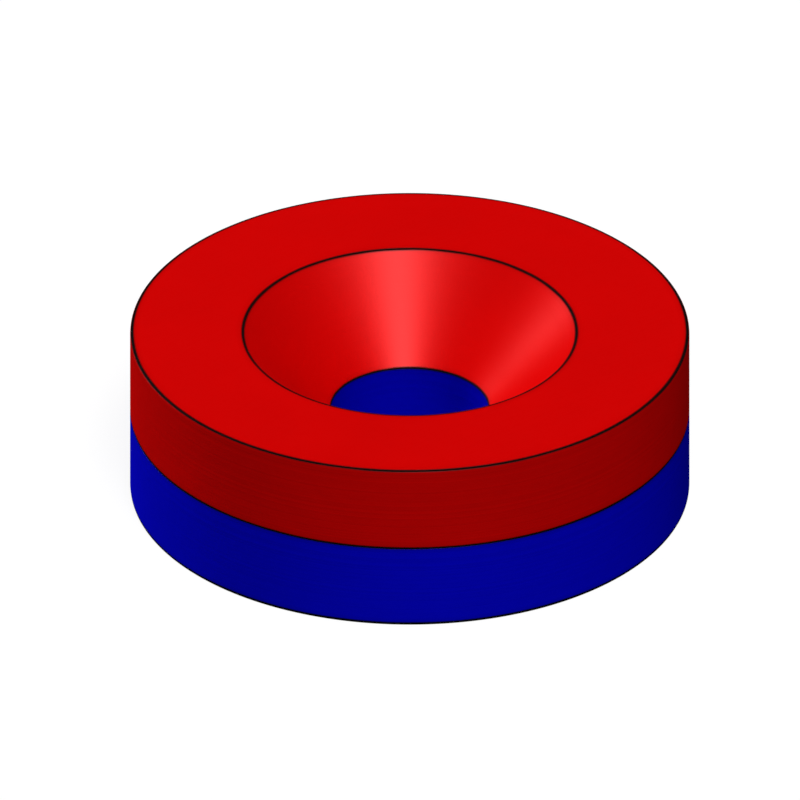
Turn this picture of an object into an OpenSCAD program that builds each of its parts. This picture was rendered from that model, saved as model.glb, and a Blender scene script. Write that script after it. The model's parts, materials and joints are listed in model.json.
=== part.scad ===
// Countersunk ring magnet: one pressed and sintered ring, magnetised through
// its thickness, ground flat on both faces, bored for a screw and countersunk
// on the working face. The upper half is lacquered red and the lower half blue
// to show the two poles. Millimetres, standing on its back face at z = 0, with
// the bore's axis on Z.

/* [Ring] */
// Outer diameter of the ring
outer_d = 16; // [12:0.1:30]
// Thickness of the ring, from the back face to the working face
thickness = 5.08; // [3.5:0.01:10]

/* [Screw hole] */
// Diameter of the straight hole that the screw's shank passes through
bore_d = 4.5; // [3:0.1:6]
// Diameter of the countersink where it opens on the working face
sink_d = 9.5; // [8:0.1:11]
// Full angle of the countersink's cone, in degrees
sink_angle = 90; // [82, 90, 100, 120]

/* [Edges] */
// Radius that tumbling leaves on every edge before the ring is coated
edge_r = 0.06; // [0.02:0.01:0.2]

/* [Hidden] */
$fn = 96;

red_lacquer = "#ca0000";
blue_lacquer = "#000096";

outer_r = outer_d / 2;
bore_r = bore_d / 2;
sink_r = sink_d / 2;
sink_depth = (sink_r - bore_r) / tan(sink_angle / 2);
bore_h = thickness - sink_depth;

// The two poles are equally thick, so their colours meet at half height
pole_split_h = thickness / 2;

// Corners of the half section as [radius, height], anticlockwise from the
// foot of the bore: back face, outer wall, working face, cone, bore
corners = [
    [bore_r, 0],
    [outer_r, 0],
    [outer_r, thickness],
    [sink_r, thickness],
    [bore_r, bore_h]
];
count = len(corners);

// Unit vector from corner i towards the corner before it (step -1) or after it
// (step 1)
function toward(i, step) =
    let (v = corners[(i + step + count) % count] - corners[i])
    v / norm(v);

// Half of the angle between the two sides that meet at corner i
function half_angle(i) = acos(toward(i, -1) * toward(i, 1)) / 2;

// Point on one side of corner i where its rounding starts
function tangent_point(i, step) =
    corners[i] + toward(i, step) * edge_r / tan(half_angle(i));

// Centre of the rounding at corner i, on the line that halves its angle
function round_centre(i) =
    let (v = toward(i, -1) + toward(i, 1))
    corners[i] + v / norm(v) * edge_r / sin(half_angle(i));

// Half section of the ring: straight sides between the tangent points, and a
// circle at each corner that fills the cut corner out to a true arc
module half_section() {
    polygon([
        for (i = [0:count - 1])
            each [tangent_point(i, -1), tangent_point(i, 1)]
    ]);
    for (i = [0:count - 1])
        translate(round_centre(i))
            circle(r = edge_r);
}

// Turned slice of the ring between two heights
module slice(z_low, z_high) {
    rotate_extrude()
        intersection() {
            half_section();
            translate([0, z_low])
                square([outer_d, z_high - z_low]);
        }
}

// The whole magnet: a blue south half under a red north half, in one solid
module magnet() {
    color(blue_lacquer)
        slice(0, pole_split_h);
    color(red_lacquer)
        slice(pole_split_h, thickness);
}

magnet();
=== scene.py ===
import json
import math

import bpy
import numpy as np
from mathutils import Euler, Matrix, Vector


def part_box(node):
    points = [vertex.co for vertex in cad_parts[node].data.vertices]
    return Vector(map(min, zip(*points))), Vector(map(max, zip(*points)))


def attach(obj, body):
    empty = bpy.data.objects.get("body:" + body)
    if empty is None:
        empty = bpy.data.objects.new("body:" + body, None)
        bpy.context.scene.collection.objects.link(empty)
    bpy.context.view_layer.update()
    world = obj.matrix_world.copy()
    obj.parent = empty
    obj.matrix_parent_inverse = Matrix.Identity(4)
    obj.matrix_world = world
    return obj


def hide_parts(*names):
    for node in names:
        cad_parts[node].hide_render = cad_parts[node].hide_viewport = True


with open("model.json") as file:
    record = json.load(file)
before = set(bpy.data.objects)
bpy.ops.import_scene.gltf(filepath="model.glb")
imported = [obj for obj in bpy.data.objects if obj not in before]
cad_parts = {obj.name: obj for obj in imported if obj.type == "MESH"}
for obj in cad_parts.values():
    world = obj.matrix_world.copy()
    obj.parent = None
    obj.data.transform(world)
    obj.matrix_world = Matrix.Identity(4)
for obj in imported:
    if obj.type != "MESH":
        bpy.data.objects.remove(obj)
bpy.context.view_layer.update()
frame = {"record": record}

# The base coat: a ring of pressed and sintered magnet alloy, ground, bored and
# countersunk, with its edges broken by tumbling, is dipped in black epoxy all
# over. That coat is what shows wherever the coloured lacquer draws back.

MM = 0.001
mounts = {mount["name"]: mount for mount in frame["record"]["mounts"]}
ring_low, ring_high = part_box("magnet")
outer_r = min(ring_high.x, ring_high.y, -ring_low.x, -ring_low.y)
thickness = ring_high.z - ring_low.z
bore_r = mounts["screw_bore"]["dims"]["r_mm"] * MM
sink_r = mounts["countersink_seat"]["dims"]["r_mm"] * MM
sink_depth = mounts["countersink_seat"]["dims"]["length_mm"] * MM
# Radius of every edge, as in the part's source, and thickness of one coat of
# lacquer
edge_r = 0.06 * MM
lacquer_t = 0.006 * MM

# The five edges of the half section as (radius, height), walked anticlockwise
edges = ["foot", "heel", "rim", "mouth", "throat"]
corners = np.array([
    (bore_r, 0.0),
    (outer_r, 0.0),
    (outer_r, thickness),
    (sink_r, thickness),
    (bore_r, thickness - sink_depth),
])
points_on_arc = 12


def walk_section():
    """Walks the half section's outside once, from the foot of the bore.
    A side runs straight along the unit vector between two corners, and its
    outward normal is that vector turned a quarter clockwise. A corner is an
    arc: its centre plus edge_r times the normal, while the normal turns from
    one side's to the next one's. Gives distance walked, radius, height and
    normal at each point, where each edge's arc starts and ends, and the
    length of the whole walk."""
    along = np.roll(corners, -1, axis=0) - corners
    length = np.hypot(*along.T)
    along = along / length[:, None]
    normal = np.stack([along[:, 1], -along[:, 0]], axis=1)
    before = np.roll(normal, 1, axis=0)
    turned = np.arccos(np.sum(before * normal, axis=1))
    cut = edge_r * np.tan(turned / 2.0)
    centre = corners - np.roll(along, 1, axis=0) * cut[:, None] - before * edge_r
    start_angle = np.arctan2(before[:, 1], before[:, 0])
    share = np.linspace(0.0, 1.0, points_on_arc)
    angle = start_angle[:, None] + turned[:, None] * share
    normals = np.stack([np.cos(angle), np.sin(angle)], axis=2)
    points = centre[:, None, :] + edge_r * normals
    straight = length - cut - np.roll(cut, -1)
    arc = edge_r * turned
    start = np.concatenate([[0.0], np.cumsum(arc + straight)[:-1]])
    walked = start[:, None] + arc[:, None] * share
    total = start[-1] + arc[-1] + straight[-1]
    ends = {name: (s, s + a) for name, s, a in zip(edges, start, arc)}
    table = np.concatenate([
        walked.reshape(-1, 1), points.reshape(-1, 2), normals.reshape(-1, 2)
    ], axis=1)
    back_at_start = table[:1].copy()
    back_at_start[0, 0] = total
    return np.concatenate([table, back_at_start]), ends, total


section, edge_at, around = walk_section()

segments = 360
turn = np.linspace(0.0, 2.0 * math.pi, segments, endpoint=False)[None, :]


def revolved(walked, depth):
    """Points of the ring's surface at a distance walked along the section and
    at each angle round the axis, sunk by depth against the outward normal. The
    radius and the height are the section's own, each less depth times the
    normal's share of it. Then x is the radius times the cosine of the angle,
    and y the radius times its sine."""
    radius, height, outward, upward = (
        np.interp(walked, section[:, 0], section[:, k]) for k in (1, 2, 3, 4)
    )
    radius = radius - depth * outward
    height = height - depth * upward
    radius, height = (np.broadcast_to(a, (len(a), segments)) for a in (radius, height))
    return np.stack([radius * np.cos(turn), radius * np.sin(turn), height], axis=2)


def closed_shell(name, grid):
    """Makes a mesh of a grid of points that closes on itself both ways: row i
    and i + 1, and column j and j + 1, share a quad, and the last row and column
    join the first. Rows walk the section anticlockwise and columns turn
    anticlockwise, so (i, j), (i, j + 1), (i + 1, j + 1), (i + 1, j) faces out."""
    rows, columns = grid.shape[:2]
    number = np.arange(rows * columns).reshape(rows, columns)
    above = np.roll(number, -1, axis=0)
    quads = np.stack([
        number, np.roll(number, -1, axis=1), np.roll(above, -1, axis=1), above
    ], axis=2).reshape(-1, 4)
    mesh = bpy.data.meshes.new(name)
    mesh.from_pydata(grid.reshape(-1, 3), [], quads, shade_flat=False)
    piece = bpy.data.objects.new(name, mesh)
    bpy.context.scene.collection.objects.link(piece)
    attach(piece, "root")
    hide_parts("magnet")
    return piece


class Signal:
    """A shader socket that takes part in arithmetic: 1 - mask or a * b adds
    its Math node, and node() adds any other."""

    def __init__(self, socket):
        self.socket = socket

    def node(self, kind, settings=None, values=None, out=0):
        """Adds a node: its settings first, such as a Math node's operation,
        then each input's number, colour or signal. Gives its output."""
        tree = self.socket.id_data
        added = tree.nodes.new(kind)
        for name, value in (settings or {}).items():
            setattr(added, name, value)
        for key, value in (values or {}).items():
            if isinstance(value, Signal):
                tree.links.new(value.socket, added.inputs[key])
            else:
                added.inputs[key].default_value = value
        return Signal(added.outputs[out])

    def math(self, operation, first, second):
        """The Math node of that operation on two values, in that order."""
        return self.node("ShaderNodeMath", {"operation": operation}, {0: first, 1: second})

    def __add__(self, other):
        return self.math("ADD", self, other)

    def __sub__(self, other):
        return self.math("SUBTRACT", self, other)

    def __rsub__(self, other):
        return self.math("SUBTRACT", other, self)

    def __mul__(self, other):
        return self.math("MULTIPLY", self, other)

    __radd__ = __add__
    __rmul__ = __mul__


def finish_of(name):
    """A new material, the surface's point in millimetres as a signal, and the
    material's Principled shader."""
    material = bpy.data.materials.new(name)
    material.use_nodes = True
    nodes = material.node_tree.nodes
    point = Signal(nodes.new("ShaderNodeTexCoord").outputs["Object"])
    place = point.node(
        "ShaderNodeVectorMath", {"operation": "SCALE"}, {0: point, "Scale": 1.0 / MM}
    )
    return material, place, nodes["Principled BSDF"]


def noise(place, per_mm, detail, roughness=0.5):
    """Smooth random value round 0.5, with per_mm bumps to the millimetre."""
    return place.node(
        "ShaderNodeTexNoise", None,
        {"Vector": place, "Scale": per_mm, "Detail": detail, "Roughness": roughness},
    )


def mixed(share, low, high):
    """Colour between two colours, by a share from 0 to 1."""
    return share.node(
        "ShaderNodeMix", {"data_type": "RGBA"}, {0: share, 6: (*low, 1.0), 7: (*high, 1.0)}, 2
    )


def relief(height, metres):
    """Normal of a surface whose height, from 0 to 1, stands for so many metres."""
    return height.node("ShaderNodeBump", None, {"Height": height, "Distance": metres})


def connect(signal, shader, name):
    """Leads a signal into the shader's named socket."""
    signal.socket.id_data.links.new(signal.socket, shader.inputs[name])


# Black epoxy: nearly matt, a little uneven, with fine pits from the dip
pit_black = (0.001, 0.001, 0.0011)
epoxy_black = (0.004, 0.004, 0.0043)
pit_depth = 0.0015 * MM
epoxy, place, shader = finish_of("black_epoxy")
shader.inputs["Specular IOR Level"].default_value = 0.03
flecks = noise(place, per_mm=9.0, detail=3.0)
connect(mixed(flecks, pit_black, epoxy_black), shader, "Base Color")
connect(0.62 + 0.14 * flecks, shader, "Roughness")
connect(relief(flecks, pit_depth), shader, "Normal")

# Its section follows the ring's own, one lacquer coat further in. It has rows
# on each edge's arc, and one close before and after it that keeps the flats flat.
rows_on_arc = 9
beside_arc = 0.01 * MM
coat_rows = np.concatenate([
    [start - beside_arc, *np.linspace(start, end, rows_on_arc), end + beside_arc]
    for start, end in edge_at.values()
])
coat_rows = np.sort(np.mod(coat_rows, around))
base_coat = closed_shell("base_coat", revolved(coat_rows[:, None], lacquer_t))
base_coat.data.materials.append(epoxy)

# Blue lacquer: the south half is sprayed while the rest is masked, on the back
# face, the lower half of the outer wall and the bore. On each edge the wet film
# draws back by some hundredths of a millimetre, and the base coat shows there.

# How far the films stop short of each edge's arc, before it and after it as the
# section is walked. On the rim the side's film runs on instead, up the arc.
up_the_rim = math.radians(40.0) * edge_r
draws_back = {
    "foot": (0.03 * MM, 0.03 * MM),
    "heel": (0.045 * MM, 0.036 * MM),
    "rim": (-up_the_rim, 0.032 * MM),
    "mouth": (0.028 * MM, 0.0),
    "throat": (0.006 * MM, 0.004 * MM),
}
# The bare band between the two colours, half way up the wall
split_gap = 0.058 * MM
split_at = edge_at["heel"][1] + (edge_at["rim"][0] - edge_at["heel"][1]) / 2.0


def short_of(edge):
    """Where the film that comes up to an edge ends, as the section is walked."""
    return edge_at[edge][0] - draws_back[edge][0]


def past(edge):
    """Where the film that follows an edge starts, as the section is walked."""
    return edge_at[edge][1] + draws_back[edge][1]


# How far a film's border wanders, how wide its rounded lip is, and how deep its
# underside grips into the base coat
border_wander = 0.006 * MM
lip = 0.012 * MM
grip = 0.004 * MM
# A film's rows of points from each border in: so many on the lip, one at each
# of these counts of lips, and one at each share of the way that is left
rows_on_lip = 7
lips_inward = [2.0, 5.0, 10.0, 20.0]
middle_rows = np.array([0.25, 0.5, 0.75])
chance = np.random.default_rng(4)


def wander():
    """Uneven border of a film: a sum of sine waves round the ring, with 2 to 25
    crests, each with a random phase and a random height that falls with the
    root of its count. The sum is scaled so that its largest is border_wander."""
    crests = np.arange(2, 26)
    phase = chance.uniform(0.0, 2.0 * math.pi, len(crests))
    height = chance.normal(0.0, 1.0, len(crests)) / np.sqrt(crests)
    total = np.sum(height[:, None] * np.sin(crests[:, None] * turn + phase[:, None]), axis=0)
    return border_wander * (total / np.abs(total).max())[None, :]


def film_between(name, start, end):
    """One film of lacquer between two distances walked along the section. It is
    lacquer_t thick and lies flush with the ring's outside. Within one lip of
    its border it is rounded as a quarter ellipse: it sinks by lacquer_t times
    one less the root of one less the square of the share of the lip that is
    still ahead. Its underside runs back inside the base coat. Each point keeps
    its distance from the border, in millimetres, for the material."""
    rounding = 1.0 - np.cos(np.linspace(0.0, math.pi / 2.0, rows_on_lip))
    inward = lip * np.concatenate([rounding, lips_inward])
    ahead = 1.0 - np.minimum(inward / lip, 1.0)
    sunk = lacquer_t * (1.0 - np.sqrt(1.0 - ahead ** 2))
    first = start + wander() + inward[:, None]
    last = end + wander() - inward[::-1, None]
    share = middle_rows[:, None]
    middle = first[-1:] * (1.0 - share) + last[:1] * share
    outside = np.concatenate([first, middle, last])
    depth = np.concatenate([sunk, np.zeros(len(middle)), sunk[::-1]])[:, None]
    grid = np.concatenate([
        revolved(outside, depth), revolved(outside[::-1], lacquer_t + grip)
    ])
    film = closed_shell(name, grid)
    border = np.concatenate([inward, np.full(len(middle), inward[-1]), inward[::-1]])
    border = np.repeat(np.concatenate([border, border[::-1]]) / MM, segments)
    from_border = film.data.attributes.new("from_border", "FLOAT", "POINT")
    from_border.data.foreach_set("value", border.astype(np.float32))
    return film


def fading(border, reach):
    """Share that falls smoothly from 1 on the border to 0 at reach millimetres from it."""
    return border.node(
        "ShaderNodeMapRange", {"interpolation_type": "SMOOTHSTEP"},
        {"Value": border, "From Min": 0.0, "From Max": reach, "To Min": 1.0, "To Max": 0.0},
    )


def across_wheel(place):
    """Distance from the middle of the grinding wheel, whose grit crosses the
    flat faces in wide arcs."""
    wheel = (38.0, -46.0, 0.0)
    return place.node("ShaderNodeVectorMath", {"operation": "DISTANCE"}, {0: place, 1: wheel}, 1)


def across_height(place):
    """Height above the back face, across which a turning tool's marks repeat."""
    return place.node("ShaderNodeSeparateXYZ", None, {0: place}, 2)


def lacquer(name, colour, marks, painted_shade_factor=1.0):
    """Satin enamel with a metallic sheen. The film is a little darker where it
    thins towards its border, and dull and half see-through to the black coat
    right at it. It is slightly mottled, with orange peel about half a
    millimetre wide. marks turns a place into the distance across which the
    grinding or turning marks of the metal below repeat, in millimetres. The last
    argument is a painted shade: a share by which the whole colour is darkened, so
    that the lacquer inside the bore is darker than the same lacquer on the outer
    wall. It is 1, no shade, everywhere else."""
    thin_reach = 0.2
    dull_reach = 0.05
    surface_depth = 0.018 * MM
    material, place, shader = finish_of(name)
    shader.inputs["Metallic"].default_value = 0.24
    shader.inputs["Specular IOR Level"].default_value = 0.0
    shader.inputs["Specular Tint"].default_value = (*(c / max(colour) for c in colour), 1.0)
    shader.inputs["Coat Weight"].default_value = 0.065
    shader.inputs["Coat IOR"].default_value = 2.0
    shader.inputs["Coat Roughness"].default_value = 0.4
    border = place.node("ShaderNodeAttribute", {"attribute_name": "from_border"}, None, 2)
    thin = fading(border, thin_reach)
    dull = fading(border, dull_reach)
    mottle = noise(place, per_mm=0.45, detail=3.0)
    peel = noise(place, per_mm=1.9, detail=2.0, roughness=0.4)
    grain = noise(place, per_mm=14.0, detail=2.0)
    lines = place.node(
        "ShaderNodeTexNoise", {"noise_dimensions": "1D"},
        {"W": marks(place), "Scale": 7.0, "Detail": 3.0, "Roughness": 0.6},
    )
    # The first factor is a painted shade, below 1 only for the lacquer inside the bore
    shade = painted_shade_factor * (0.95 + 0.08 * mottle + 0.02 * lines - 0.10 * thin - 0.55 * dull)
    tinted = place.node(
        "ShaderNodeVectorMath", {"operation": "SCALE"}, {0: colour, "Scale": shade}
    )
    connect(tinted, shader, "Base Color")
    connect(0.44 + 0.08 * mottle + 0.05 * grain + 0.35 * dull, shader, "Roughness")
    height = 0.55 * peel + 0.35 * lines + 0.10 * grain
    connect(relief(height, surface_depth), shader, "Normal")
    return material


BLUE = (0.0002, 0.0002, 0.59)
blue_ground = lacquer("blue_lacquer_on_ground_face", BLUE, across_wheel)
blue_turned = lacquer("blue_lacquer_on_round_wall", BLUE, across_height)
# The bore's lacquer is the round wall's lacquer with a painted shade: its colour is darkened to
# 0.82 to stand for the shade inside the bore
blue_painted_shade_in_bore = lacquer("blue_lacquer_in_bore_painted_shade", BLUE, across_height, painted_shade_factor=0.82)
blue_films = [
    ("blue_bore", past("throat"), around + short_of("foot"), blue_painted_shade_in_bore),
    ("blue_back_face", past("foot"), short_of("heel"), blue_ground),
    ("blue_side", past("heel"), split_at - split_gap / 2.0, blue_turned),
]
for name, start, end, material in blue_films:
    film = film_between(name, start, end)
    film.data.materials.append(material)

# Red lacquer: the north half is sprayed with the blue half masked, on the upper
# half of the outer wall, the working face and the countersink down to the bore.
# The two colours stop just short of each other at half height.

RED = (0.59, 0.0002, 0.0002)
red_ground = lacquer("red_lacquer_on_ground_face", RED, across_wheel)
red_turned = lacquer("red_lacquer_on_round_wall", RED, across_height)
red_films = [
    ("red_side", split_at + split_gap / 2.0, short_of("rim"), red_turned),
    ("red_working_face", past("rim"), short_of("mouth"), red_ground),
    ("red_countersink", past("mouth"), short_of("throat"), red_turned),
]
for name, start, end, material in red_films:
    film = film_between(name, start, end)
    film.data.materials.append(material)

# The floor: a plain white table top, matt and evenly lit. It glows a little of
# its own, as a light table does, so the soft shadow round the ring stays faint,
# and it throws no light of its own back on to the ring.

floor_half = 0.5
floor_mesh = bpy.data.meshes.new("floor")
floor_mesh.from_pydata(
    [(-floor_half, -floor_half, 0.0), (floor_half, -floor_half, 0.0),
     (floor_half, floor_half, 0.0), (-floor_half, floor_half, 0.0)],
    [], [(0, 1, 2, 3)],
)
floor = bpy.data.objects.new("floor", floor_mesh)
bpy.context.scene.collection.objects.link(floor)
floor_white, _, shader = finish_of("white_table")
shader.inputs["Base Color"].default_value = (0.1, 0.1, 0.1, 1.0)
shader.inputs["Roughness"].default_value = 1.0
shader.inputs["Specular IOR Level"].default_value = 0.0
shader.inputs["Emission Color"].default_value = (1.0, 1.0, 1.0, 1.0)
shader.inputs["Emission Strength"].default_value = 0.88
floor_mesh.materials.append(floor_white)
floor.visible_diffuse = False
floor.visible_glossy = False

# The lights: four soft lamps, each far away. The key is in front and above, the
# fill behind on the left, a sheen beside it that only shows in the gloss, and a
# weak one behind that opens up the far side.

lamp_width = math.radians(20.0)


def lamp(name, azimuth, elevation, strength):
    """A distant lamp, lamp_width across. Its azimuth is counted in degrees from
    the front, -Y, towards +X, and its elevation from the floor up. Of the unit
    vector to it, z is the elevation's sine, and the elevation's cosine times
    the azimuth's sine and cosine gives x and minus y."""
    a, e = math.radians(azimuth), math.radians(elevation)
    toward = (math.sin(a) * math.cos(e), -math.cos(a) * math.cos(e), math.sin(e))
    data = bpy.data.lights.new(name, "SUN")
    data.energy = strength
    data.angle = lamp_width
    light = bpy.data.objects.new(name, data)
    light.rotation_euler = Vector(toward).to_track_quat("Z", "Y").to_euler()
    bpy.context.scene.collection.objects.link(light)
    return light


lamp("key", azimuth=12.0, elevation=59.0, strength=1.02 * math.pi)
fill = lamp("fill", azimuth=-128.0, elevation=17.0, strength=0.95 * math.pi)
fill.data.use_shadow = False
fill.visible_glossy = False
sheen = lamp("sheen", azimuth=-124.0, elevation=8.0, strength=0.36 * math.pi)
sheen.data.use_shadow = False
sheen.visible_diffuse = False
behind = lamp("behind", azimuth=172.0, elevation=8.0, strength=0.28 * math.pi)
behind.visible_glossy = False

# The room: plain white behind the table, as a studio's paper is. It also gives
# the object a faint even light from all round, which its gloss doesn't mirror.

room_light = 0.12
room = bpy.data.worlds.new("room")
bpy.context.scene.world = room
room.use_nodes = True
backdrop = room.node_tree.nodes["Background"]
backdrop.inputs["Color"].default_value = (1.0, 1.0, 1.0, 1.0)
ray = room.node_tree.nodes.new("ShaderNodeLightPath")
seen = Signal(ray.outputs["Is Camera Ray"])
diffuse = Signal(ray.outputs["Is Diffuse Ray"])
connect(seen + room_light * diffuse, backdrop, "Strength")

# The camera: a parallel view from 30 degrees above, straight along +Y. It aims
# a little to the left of the ring's axis and just above its half height, and
# the view is wide enough to leave white all round.

elevation = math.radians(30.0)
aim = Vector((-0.279, 0.0, 2.831)) * MM
view_width = 22.87 * MM
camera_distance = 0.2
away = Vector((0.0, -math.cos(elevation), math.sin(elevation)))
camera_data = bpy.data.cameras.new("camera")
camera_data.type = "ORTHO"
camera_data.ortho_scale = view_width
camera_data.clip_start = 0.01
camera_data.clip_end = 2.0
camera = bpy.data.objects.new("camera", camera_data)
camera.location = aim + camera_distance * away
camera.rotation_euler = Euler((math.pi / 2.0 - elevation, 0.0, 0.0))
bpy.context.scene.collection.objects.link(camera)
bpy.context.scene.camera = camera

bpy.context.scene.view_settings.view_transform = "Standard"
bpy.context.scene.view_settings.look = "None"
